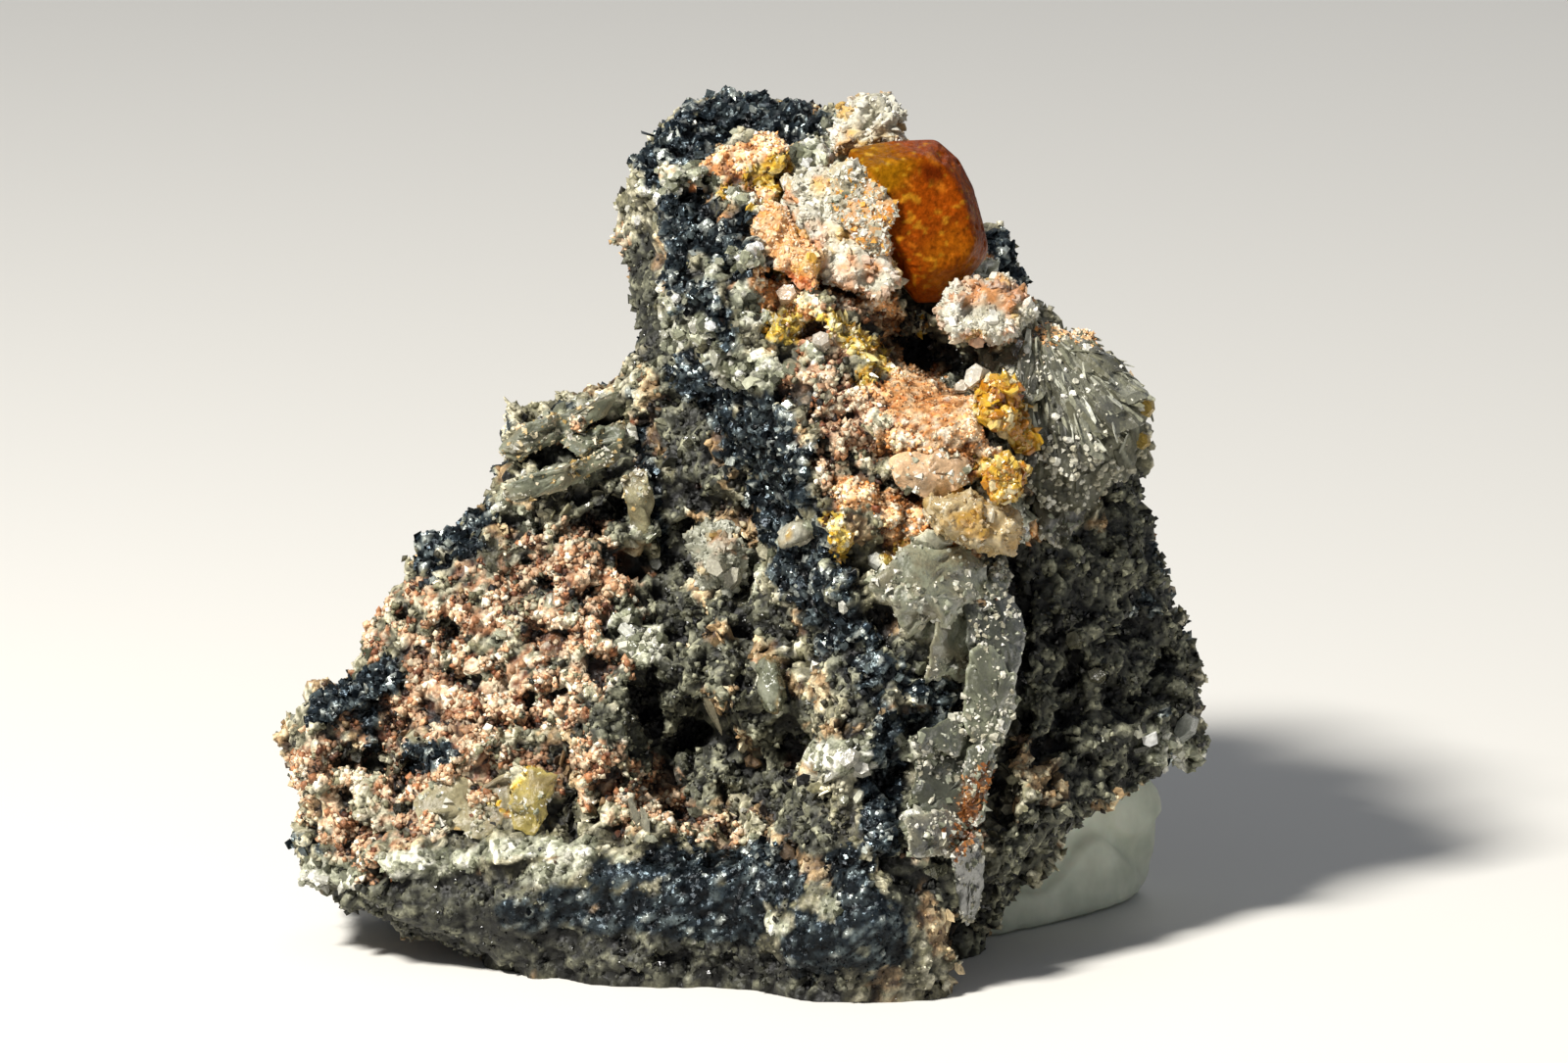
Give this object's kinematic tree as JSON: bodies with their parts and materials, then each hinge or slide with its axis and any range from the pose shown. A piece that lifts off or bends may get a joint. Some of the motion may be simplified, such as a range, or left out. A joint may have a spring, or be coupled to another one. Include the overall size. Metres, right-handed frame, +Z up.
{
  "type": "wulfenite mineral specimen",
  "caption": "Craggy porous rock with a thick square orange crystal grown near its top, quartz plates and crystal clusters round it, and a wad of putty under one side.",
  "frame": {"origin": "middle of the specimen's bounding box, on the flat ground face", "axes": "+Z up from the flat ground face, -Y out of the side that shows the orange crystal, +X to that side's right"},
  "size_m": [0.0486, 0.0368, 0.0431],
  "materials": {
    "host_rock": "matte",
    "wulfenite": "polished",
    "yellow_crystal": "satin",
    "quartz": "satin",
    "peach_quartz": "matte",
    "clear_quartz": "polished",
    "grey_cerussite": "satin",
    "putty": "matte"
  },
  "bodies": {
    "root": {"matrix": "host_rock", "wulfenite_crystal": "wulfenite", "yellow_crystals_upper": "yellow_crystal", "yellow_crystals_lower": "yellow_crystal", "top_quartz_plate": "quartz", "middle_quartz_plate": "quartz", "peach_plate": "peach_quartz", "ledge_quartz_plate": "peach_quartz", "horn_crystal": "quartz", "curtain_plate": "clear_quartz", "clear_crystal": "clear_quartz", "sugar_cluster": "clear_quartz", "green_clear_crystal": "clear_quartz", "grey_crystal_fan": "grey_cerussite", "putty_wad": "putty"}
  },
  "joints": []
}
